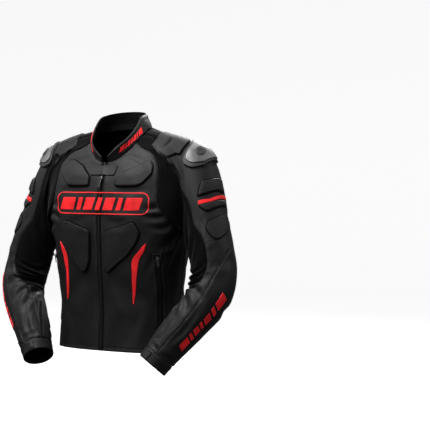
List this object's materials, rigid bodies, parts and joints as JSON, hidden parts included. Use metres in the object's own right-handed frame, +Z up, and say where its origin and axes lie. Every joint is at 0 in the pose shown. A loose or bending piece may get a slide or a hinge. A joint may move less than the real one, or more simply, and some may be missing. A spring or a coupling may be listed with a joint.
{
  "type": "leather racing jacket",
  "caption": "Black leather racing jacket, worn shape, stand collar, ribbed stretch panels, armour pads, shoulder plates, red inserts, zips and a back hump.",
  "frame": {"origin": "centre of the neck opening, level with the points where the shoulders meet the neck", "axes": "+Z up, the front faces -Y, the wearer's left is +X"},
  "size_m": [0.706, 0.343, 0.6916],
  "materials": {
    "leather": "satin full-grain",
    "stretch": "matt ribbed stretch cloth",
    "pad": "satin, moulded over foam",
    "red": "satin dyed",
    "plate": "brushed grey",
    "rubber": "matt",
    "metal": "dark polished"
  },
  "bodies": {
    "jacket": {"arm_pad_left": "pad", "arm_pad_right": "pad", "arm_shield_left": "pad", "arm_shield_right": "pad", "arm_stripe_left": "red", "arm_stripe_right": "red", "back_badge": "leather", "back_hump": "pad", "back_left": "leather", "back_right": "leather", "blade_back_left": "red", "blade_back_right": "red", "blade_front_left": "red", "blade_front_right": "red", "body_pad_left": "pad", "body_pad_right": "pad", "chest_pad_left": "pad", "chest_pad_right": "pad", "collar": "leather", "collar_tab": "leather", "cuff_left": "leather", "cuff_right": "leather", "cuff_zip_left": "rubber", "cuff_zip_right": "rubber", "elbow_ribs_left": "leather", "elbow_ribs_right": "leather", "forearm_outer_left": "leather", "forearm_outer_right": "leather", "forearm_under_left": "leather", "forearm_under_right": "leather", "front_left": "leather", "front_right": "leather", "main_zip": "rubber", "neck_band_back": "stretch", "neck_stretch_left": "stretch", "neck_stretch_right": "stretch", "pocket_zip_left": "rubber", "pocket_zip_right": "rubber", "rib_panel_left": "stretch", "rib_panel_right": "stretch", "shoulder_plate_left": "plate", "shoulder_plate_right": "plate", "shoulder_rim_left": "rubber", "shoulder_rim_right": "rubber", "sleeve_back_left": "leather", "sleeve_back_right": "leather", "sleeve_stretch_left": "stretch", "sleeve_stretch_right": "stretch", "sleeve_top_left": "leather", "sleeve_top_right": "leather", "waist_tab_left": "leather", "waist_tab_right": "leather", "waistband_back": "leather", "yoke_pad_left": "pad", "yoke_pad_right": "pad", "zip_slider": "metal"},
    "zip_pull": {"zip_pull": "metal"},
    "pocket_pull_left": {"pocket_pull_left": "metal"},
    "pocket_pull_right": {"pocket_pull_right": "metal"}
  },
  "joints": [
    {"name": "zip_pull_swing", "type": "hinge", "parent": "jacket", "child": "zip_pull", "pos_m": [0, -0.12234, -0.13129], "axis": [-1, 0, 0], "range_deg": [0, 165]},
    {"name": "pocket_pull_left_swing", "type": "hinge", "parent": "jacket", "child": "pocket_pull_left", "pos_m": [0.15871, -0.09701, -0.34291], "axis": [-0.7441, -0.6578, -0.1171], "range_deg": [0, 165]},
    {"name": "pocket_pull_right_swing", "type": "hinge", "parent": "jacket", "child": "pocket_pull_right", "pos_m": [-0.15871, -0.09701, -0.34291], "axis": [-0.7441, 0.6578, 0.1171], "range_deg": [0, 165]}
  ]
}
